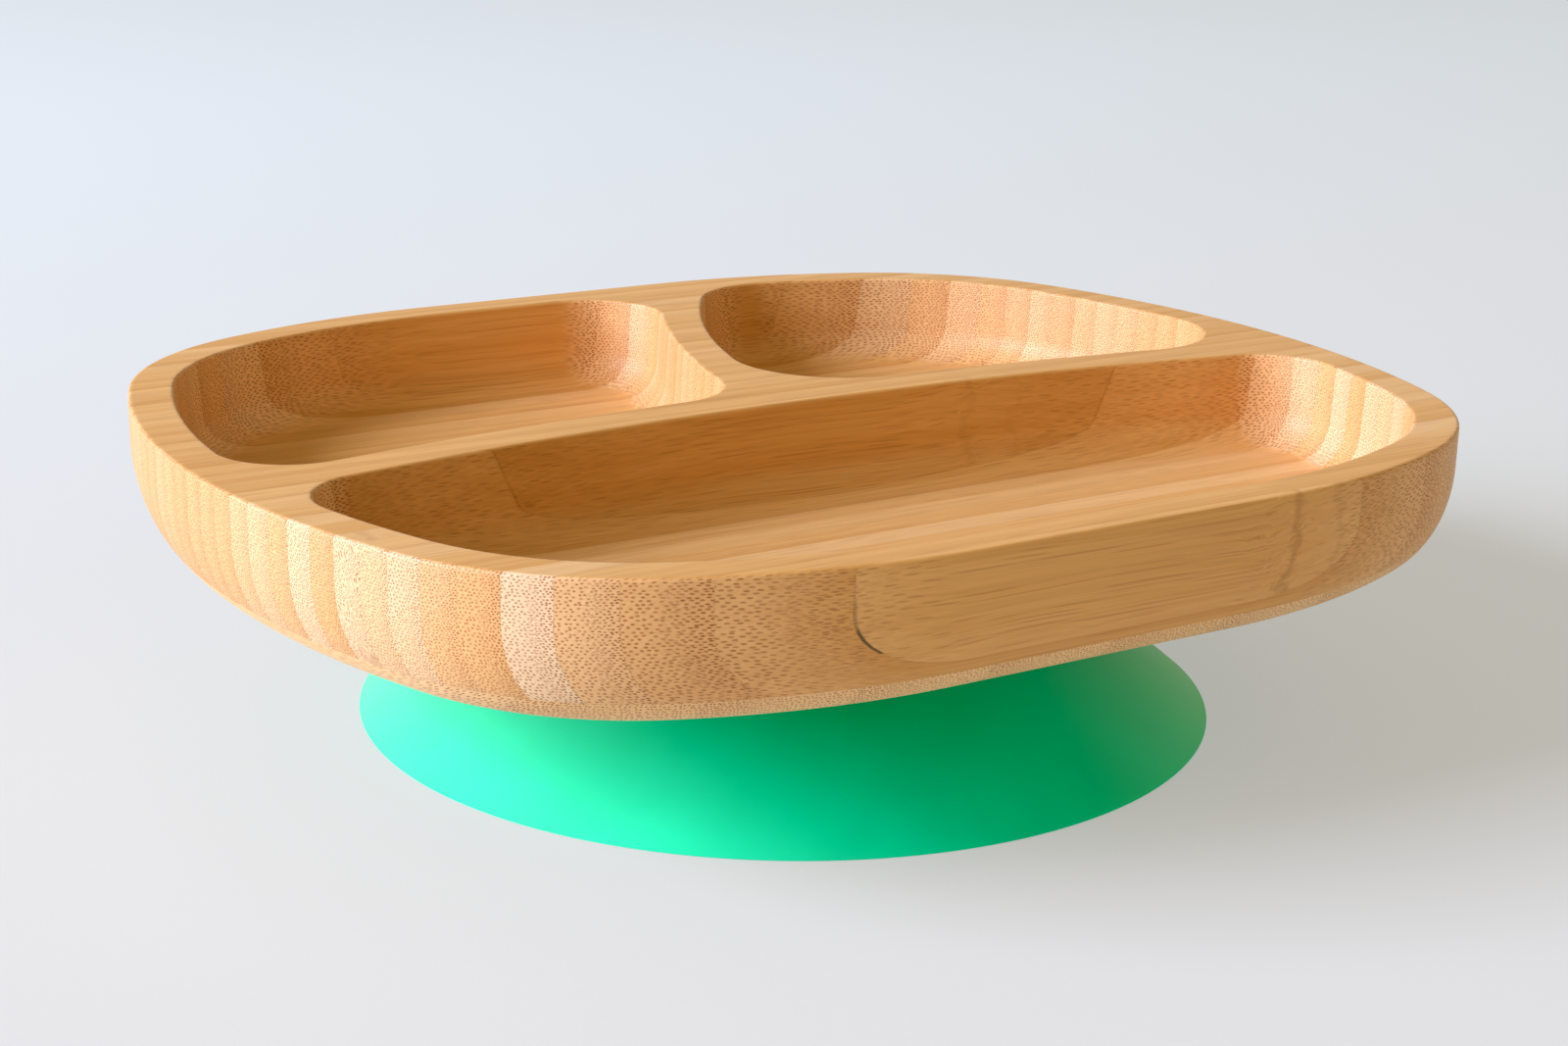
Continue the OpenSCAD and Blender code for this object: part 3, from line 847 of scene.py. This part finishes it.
# Release tab with its grip ridge
tab = rounded_block(TAB_W / 2, HINGE_Y, HINGE_Y + TAB_L, TAB_LIFT, tab_top,
                    ROOT_CORNER_R, TAB_CORNER_R, TAB_BREAK)
ridge = bmesh.new()
ridge_place = Matrix.Translation((0, HINGE_Y + TAB_L - TAB_CORNER_R, tab_top))
ridge_turn = Matrix.Rotation(math.pi / 2, 4, "Y")
bmesh.ops.create_cone(ridge, cap_ends=True, segments=RIDGE_FACETS, radius1=RIDGE_R, radius2=RIDGE_R,
                      depth=TAB_W - 2 * TAB_CORNER_R, matrix=ridge_place @ ridge_turn)
piece("pull_tab", combine(tab, ridge, "UNION"), "tab", ["release_tab"], green)

# Camera at the photograph's viewing angle: degrees, metres, and millimetres for lens and sensor
AZIMUTH = -32.57
ELEVATION = 16.48
ROLL = 1.08
AIM = Vector((-0.04384, -0.06783, 0.0545))
DISTANCE = 0.35323
LENS = 57.93
SENSOR_W = 36


def add_camera():
    az = math.radians(AZIMUTH)
    el = math.radians(ELEVATION)
    roll = math.radians(ROLL)
    back = Vector((math.sin(az) * math.cos(el), -math.cos(az) * math.cos(el), math.sin(el)))
    level = (-back).cross(Vector((0, 0, 1))).normalized()
    upright = level.cross(-back)
    right = level * math.cos(roll) + upright * math.sin(roll)
    up = upright * math.cos(roll) - level * math.sin(roll)
    data = bpy.data.cameras.new("camera")
    data.sensor_width = SENSOR_W
    data.lens = LENS
    data.clip_start = 0.01
    camera = bpy.data.objects.new("camera", data)
    camera.matrix_world = Matrix((right, up, back)).transposed().to_4x4()
    camera.location = AIM + DISTANCE * back
    bpy.context.scene.collection.objects.link(camera)
    bpy.context.scene.camera = camera


# Stage, in metres: a pale floor with painted cooler light towards its far side, soft light from a window on
# the left
FLOOR_HALF = 60
# Floor: where along Y the painted cooler light fades in, its own near colour, and the far colour that paints
# that cooler light
FLOOR_FADE = (-0.2, 0.9)
FLOOR_NEAR = (0.43, 0.388, 0.352, 1)
FLOOR_FAR_PAINTED_COOL = (0.45, 0.463, 0.475, 1)
FLOOR_GLOW = (0.92, 0.97, 1.0, 1)
# Sky: its colour, and its strengths at two heights
SKY = (1.0, 0.81, 0.56, 1)
SKY_HEIGHTS = (0.05, 0.7)
SKY_STRENGTHS = (0.62, 0.46)
# Levels of red, green and blue that the picture shows as black
BLACK_LEVEL = (0.05, 0.003, 0.006)


def add_floor():
    bm = bmesh.new()
    bmesh.ops.create_grid(bm, x_segments=1, y_segments=1, size=FLOOR_HALF)
    mesh = bpy.data.meshes.new("floor")
    bm.to_mesh(mesh)
    bm.free()
    floor = bpy.data.objects.new("floor", mesh)
    bpy.context.scene.collection.objects.link(floor)
    t = Tree("floor")
    # The floor's colour cools towards the far side: painted cooler light, not a change in the floor itself
    far = t.split(t.coordinates("Object"))[1]
    t.surface({
        "Base Color": t.mix(t.ramp(far, *FLOOR_FADE), FLOOR_NEAR, FLOOR_FAR_PAINTED_COOL),
        "Emission Color": FLOOR_GLOW,
        "Emission Strength": 0.36,
        "Roughness": 0.9,
        "Specular IOR Level": 0.0,
    })
    mesh.materials.append(t.material)


def add_window(place, aim, size, power, colour):
    light = bpy.data.lights.new("window", "AREA")
    light.shape = "RECTANGLE"
    light.size = size[0]
    light.size_y = size[1]
    light.energy = power
    light.color = colour
    obj = bpy.data.objects.new("window", light)
    obj.location = place
    obj.rotation_euler = (Vector(aim) - Vector(place)).to_track_quat("-Z", "Y").to_euler()
    bpy.context.scene.collection.objects.link(obj)


def add_sky():
    """Warm light from all sides, a little stronger near the horizon."""
    world = bpy.data.worlds.new("sky")
    bpy.context.scene.world = world
    world.use_nodes = True
    nodes = world.node_tree.nodes
    links = world.node_tree.links
    height = nodes.new("ShaderNodeSeparateXYZ")
    links.new(nodes.new("ShaderNodeTexCoord").outputs["Generated"], height.inputs[0])
    fade = nodes.new("ShaderNodeMapRange")
    links.new(height.outputs[2], fade.inputs["Value"])
    for socket, value in enumerate(SKY_HEIGHTS + SKY_STRENGTHS, start=1):
        fade.inputs[socket].default_value = value
    links.new(fade.outputs[0], nodes["Background"].inputs[1])
    nodes["Background"].inputs[0].default_value = SKY


add_camera()
add_floor()
add_window(place=(-3.1, 0.72, 1.48), aim=(0, 0, 0.04), size=(2.0, 1.6), power=304, colour=(0.58, 0.72, 0.99))
add_sky()
view = bpy.context.scene.view_settings
view.view_transform = "Standard"
view.use_curve_mapping = True
view.curve_mapping.black_level = BLACK_LEVEL
view.curve_mapping.update()
